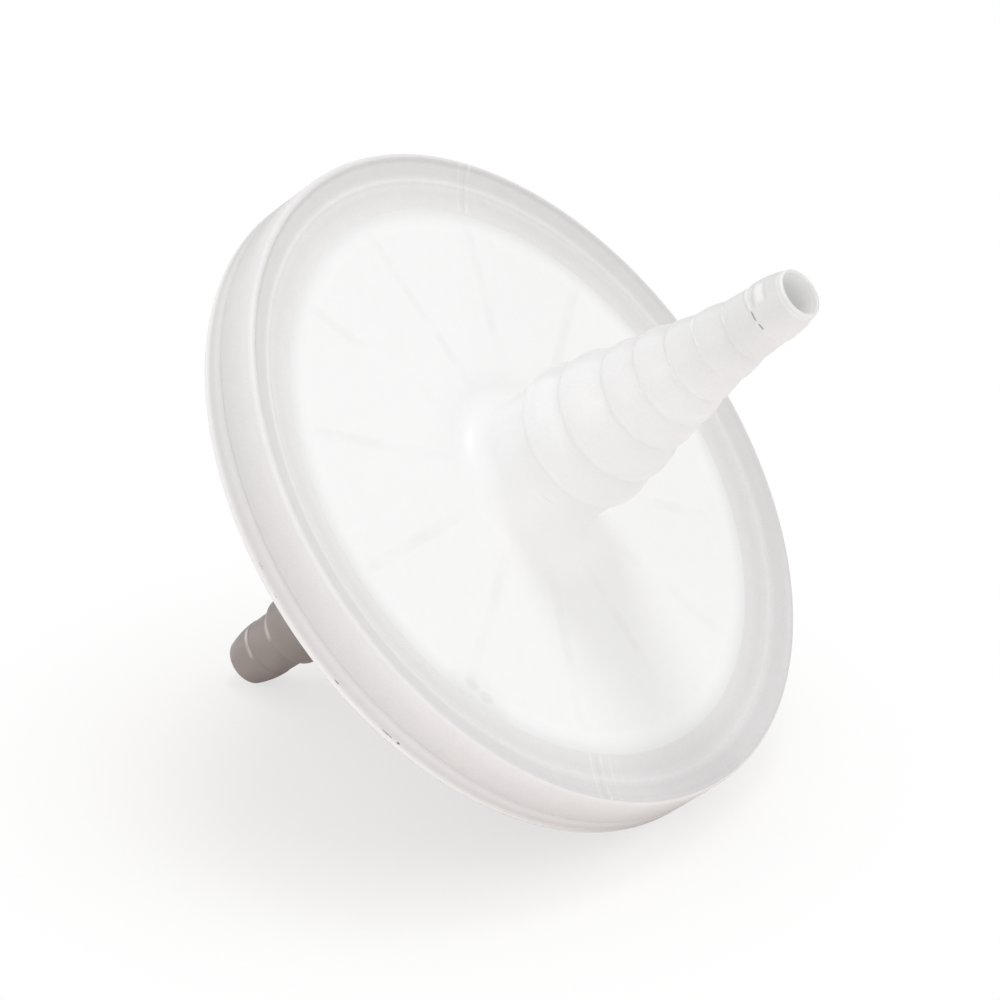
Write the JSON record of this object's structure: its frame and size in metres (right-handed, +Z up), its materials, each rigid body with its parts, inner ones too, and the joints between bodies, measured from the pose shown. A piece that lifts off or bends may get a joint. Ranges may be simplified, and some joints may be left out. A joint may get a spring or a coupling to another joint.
{
  "type": "disc vent filter",
  "caption": "Round sealed membrane filter with a stepped hose barb on each side, lying tilted on its rim and one barb end.",
  "frame": {"origin": "on the ground below the middle of the filter as it lies", "axes": "+Z up; the filter's axis lies in the XZ plane and runs out through the inlet barb towards +X and up, 41.45 degrees above level; +Y lies across the disc"},
  "size_m": [0.0582, 0.064, 0.0521],
  "materials": {
    "white_shell": "translucent white polypropylene, satin",
    "grey_shell": "warm grey polypropylene, satin",
    "rim": "moulded-on white polypropylene, fine matte texture",
    "membrane": "white porous fluoropolymer film",
    "support_fleece": "white polypropylene fleece"
  },
  "bodies": {
    "root": {"inlet_housing": "white_shell", "outlet_housing": "grey_shell", "rim_ring": "rim", "membrane": "membrane", "inlet_support": "support_fleece", "outlet_support": "support_fleece"}
  },
  "joints": []
}
